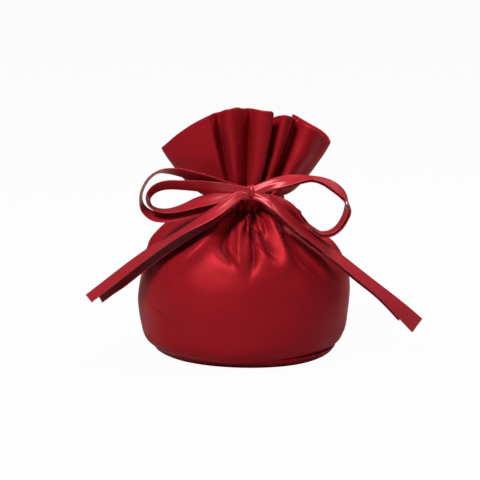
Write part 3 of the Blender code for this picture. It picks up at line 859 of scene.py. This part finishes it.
def make_floor(settings):
    """A large pale floor, white to the camera and with the pouch's soft shadow kept."""
    finish = Finish("pale_floor")
    path = finish.node("LightPath")
    finish.set(Base_Color=rgba(settings.floor_colour), Roughness=0.9)
    glow = finish.node("Emission", inputs={"Color": (1.0, 1.0, 1.0, 1.0), "Strength": 1.0})
    plain = Value(finish.tree, finish.shader.outputs[0])
    seen = finish.node("MixShader", inputs={0: path * 0.96, 1: plain, 2: glow})
    output = finish.tree.nodes["Material Output"]
    join(finish.tree, output.inputs["Surface"], seen)
    reach = 40.0
    mesh = bpy.data.meshes.new("floor")
    corners = [(-reach, -reach, 0), (reach, -reach, 0), (reach, reach, 0), (-reach, reach, 0)]
    mesh.from_pydata(corners, [], [(0, 1, 2, 3)])
    mesh.materials.append(finish.block)
    floor = bpy.data.objects.new("floor", mesh)
    bpy.context.scene.collection.objects.link(floor)


def make_world(scene):
    """Soft even light from all round, and a white background for the camera."""
    world = scene.world or bpy.data.worlds.new("studio")
    scene.world = world
    finish = Finish("studio", world)
    path = finish.node("LightPath")
    shine = finish.tree.nodes["Background"]
    shine.inputs["Color"].default_value = (1.0, 1.0, 1.0, 1.0)
    join(finish.tree, shine.inputs["Strength"], path * 0.90 + 0.10)


def make_softboxes(settings):
    """The key softbox at the front left and a weak one at the right."""
    lamps = (
        ("key", (-0.50, -0.62, 1.05), 0.42, settings.key_power),
        ("fill", (0.80, -0.60, 0.55), 0.60, settings.key_power * 0.04),
        ("top", (0.45, 0.25, 0.95), 0.35, settings.key_power * 0.45),
    )
    for name, place, size, power in lamps:
        light = bpy.data.lights.new(name, "AREA")
        light.energy = power
        light.size = size
        made = bpy.data.objects.new(name, light)
        made.location = place
        aim = Vector((0.0, 0.0, 0.07)) - made.location
        made.rotation_euler = aim.to_track_quat("-Z", "Y").to_euler()
        bpy.context.scene.collection.objects.link(made)


class KINCHAKU_OT_bow_loops(bpy.types.Operator):
    """Make the four loops of the bow"""

    bl_idname = "kinchaku.bow_loops"
    bl_label = "Bow Loops"

    def execute(self, context):
        width = context.scene.kinchaku_ribbon.width
        right = route_stations(RIGHT_FRONT_LOOP, width, 150)
        loops = (
            ("left_big_loop", route_stations(LEFT_BIG_LOOP, width, 150), "ribbon_rear"),
            ("left_small_loop", route_stations(LEFT_SMALL_LOOP, width, 150), "ribbon_front"),
            ("right_front_loop", right, "ribbon_front"),
            ("right_rear_loop", nested(right), "ribbon_rear"),
        )
        for name, stations, node in loops:
            piece = ribbon_object(name, stations, ribbon_satin())
            declare_ribbon(piece, stations, node)
        return {"FINISHED"}


class KINCHAKU_OT_bow_tails(bpy.types.Operator):
    """Make the four cut tails of the bow"""

    bl_idname = "kinchaku.bow_tails"
    bl_label = "Bow Tails"

    def execute(self, context):
        tails = (
            ("left_front_tail", LEFT_FRONT_TAIL, "ribbon_front", -0.0024),
            ("left_rear_tail", LEFT_REAR_TAIL, "ribbon_rear", -0.0020),
            ("right_front_tail", RIGHT_FRONT_TAIL, "ribbon_front", 0.0),
            ("right_rear_tail", RIGHT_REAR_TAIL, "ribbon_rear", 0.0),
        )
        width = context.scene.kinchaku_ribbon.width
        for name, route, node, slant in tails:
            stations = route_stations(route, width, 130)
            piece = ribbon_object(name, stations, ribbon_satin(), slant)
            declare_ribbon(piece, stations, node)
        return {"FINISHED"}


class KINCHAKU_OT_bow_knot(bpy.types.Operator):
    """Make the knot of the bow and the ribbons' way out of the casing"""

    bl_idname = "kinchaku.bow_knot"
    bl_label = "Bow Knot"

    def execute(self, context):
        wrap = knot_wrap()
        core = knot_core()
        for piece, node in ((wrap, "ribbon_front"), (core, "ribbon_rear")):
            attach(piece, "root")
            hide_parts(node)
        return {"FINISHED"}


def knot_wrap():
    """The band of ribbon that is pulled tight round the knot."""
    half_wide, half_tall, half_deep = 0.0025, 0.0041, 0.0030
    turns = np.linspace(0, 2 * math.pi, 72, endpoint=False)
    across = np.linspace(-1, 1, 27)
    rows = []
    for place in across:
        swell = 1 - 0.12 * place ** 2 + 0.035 * math.cos(7.5 * place + 0.6)
        lean = 0.0004 * np.sin(turns)
        rows.append(np.stack([
            place * half_wide * (1 + 0.14 * np.sin(turns)) + lean,
            -half_deep * swell * np.cos(turns),
            half_tall * swell * np.sin(turns),
        ], axis=1))
    inside = [row * np.array([1.0, 0.72, 0.80]) for row in (rows[-1], rows[0])]
    grid = np.stack([inside[1], *rows, inside[0]]) + np.array(KNOT)
    return grid_object("knot_wrap", grid[:, ::-1], ribbon_satin(), floor_closed=True)


def knot_core():
    """The gathered ribbon inside the knot and down to the casing behind it."""
    path = np.array([
        (0.0, -0.0006, -0.0002), (0.0, 0.0016, -0.0022), (0.0, 0.0036, -0.0052),
        (0.0, 0.0056, -0.0074), (0.0, 0.0080, -0.0083),
    ])
    line = spline(path, np.linspace(0, 4, 30))
    turns = np.linspace(0, 2 * math.pi, 40, endpoint=False)
    rows = []
    for i, at in enumerate(line):
        reach = 0.0021 + 0.0006 * math.cos(i * 0.12) + 0.00035 * np.cos(5 * turns + 0.05 * i)
        slope = i / (len(line) - 1)
        rows.append(np.stack([
            at[0] + reach * np.cos(turns),
            at[1] + reach * np.sin(turns) * (0.5 + 0.2 * slope),
            at[2] + reach * np.sin(turns) * (0.8 - 0.3 * slope),
        ], axis=1))
    grid = np.stack(rows) + np.array(KNOT)
    return grid_object("knot_core", grid, ribbon_satin(), floor_closed=True)


class KINCHAKU_OT_pouch_cloth(bpy.types.Operator):
    """Make the sewn cloth: the filled body, the casing and the pleated ruffle"""

    bl_idname = "kinchaku.pouch_cloth"
    bl_label = "Pouch Cloth"

    def execute(self, context):
        sizes = context.scene.kinchaku_pouch
        grid, crease = pouch_grid()
        material = satin("pouch_satin_cloth", sizes.colour, sizes.patch_and_crease_shade_colour, 0.00035, 0.46, 0.08)
        cloth = grid_object("pouch_cloth_sewn", grid, material, crease, floor_closed=True)
        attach(cloth, "root")
        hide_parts("pouch_cloth")
        return {"FINISHED"}


class KINCHAKU_OT_base_panel(bpy.types.Operator):
    """Make the round base panel with its turned-up, seamed edge"""

    bl_idname = "kinchaku.base_panel"
    bl_label = "Base Panel"

    def execute(self, context):
        sizes = context.scene.kinchaku_pouch
        reach = PANEL_HIGH.x
        profile = np.array([
            (0.20 * reach, 0.0012), (0.70 * reach, 0.0012), (0.90 * reach, 0.0012),
            (0.955 * reach, 0.0030), (0.972 * reach, 0.0046), (0.984 * reach, 0.0050),
            (0.990 * reach, 0.0044), (0.976 * reach, 0.0028), (0.945 * reach, 0.0012),
            (0.905 * reach, 0.0003), (0.860 * reach, 0.0), (0.50 * reach, 0.0),
            (0.02 * reach, 0.0),
        ])
        line = spline(profile, np.linspace(0, len(profile) - 1, 90))
        line[:, 1] = np.maximum(line[:, 1], 0.0)
        turns = np.linspace(0, 2 * math.pi, 260, endpoint=False)
        pucker = 0.00025 * np.sin(41 * turns + 2 * np.sin(3 * turns))
        high = (line[:, 1] / 0.005)[:, None]
        radius = line[:, 0][:, None] + pucker[None, :] * high
        front = np.clip(-np.sin(turns), 0, 1)
        grid = np.stack([
            radius * (np.cos(turns) + 0.08 * front ** 2),
            radius * np.sin(turns) * (1 - 0.06 * front ** 2),
            line[:, 1][:, None] + 0 * radius,
        ], axis=2)
        material = satin("base_satin_cloth", sizes.colour, sizes.patch_and_crease_shade_colour, 0.00035, 0.46, 0.08)
        panel = grid_object("base_panel_sewn", grid[::-1, :], material, floor_closed=True)
        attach(panel, "root")
        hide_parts("base_panel")
        return {"FINISHED"}


class KINCHAKU_PT_pouch(bpy.types.Panel):
    """Lists the pouch's sizes and the steps that build it"""

    bl_idname = "KINCHAKU_PT_pouch"
    bl_label = "Kinchaku Pouch"
    bl_space_type = "VIEW_3D"
    bl_region_type = "UI"
    bl_category = "Kinchaku"

    def draw(self, context):
        scene = context.scene
        for group in (scene.kinchaku_pouch, scene.kinchaku_ribbon, scene.kinchaku_stage):
            box = self.layout.box()
            for name in group.__annotations__:
                box.prop(group, name)
        for step in STEPS:
            self.layout.operator(step.bl_idname)


STEPS = (
    KINCHAKU_OT_stage,
    KINCHAKU_OT_bow_loops,
    KINCHAKU_OT_bow_tails,
    KINCHAKU_OT_bow_knot,
    KINCHAKU_OT_base_panel,
    KINCHAKU_OT_pouch_cloth,
)
CLASSES = (PouchSizes, RibbonSizes, StageSettings, *STEPS, KINCHAKU_PT_pouch)


def register():
    """Register the classes and put the settings on the scene."""
    for part in CLASSES:
        bpy.utils.register_class(part)
    bpy.types.Scene.kinchaku_pouch = PointerProperty(type=PouchSizes)
    bpy.types.Scene.kinchaku_ribbon = PointerProperty(type=RibbonSizes)
    bpy.types.Scene.kinchaku_stage = PointerProperty(type=StageSettings)


def unregister():
    """Take the settings and the classes away again."""
    del bpy.types.Scene.kinchaku_stage
    del bpy.types.Scene.kinchaku_ribbon
    del bpy.types.Scene.kinchaku_pouch
    for part in reversed(CLASSES):
        bpy.utils.unregister_class(part)


def main():
    """Register the add-on and run its steps in order."""
    register()
    for step in STEPS:
        area, verb = step.bl_idname.split(".")
        getattr(getattr(bpy.ops, area), verb)()


if __name__ == "__main__":
    main()
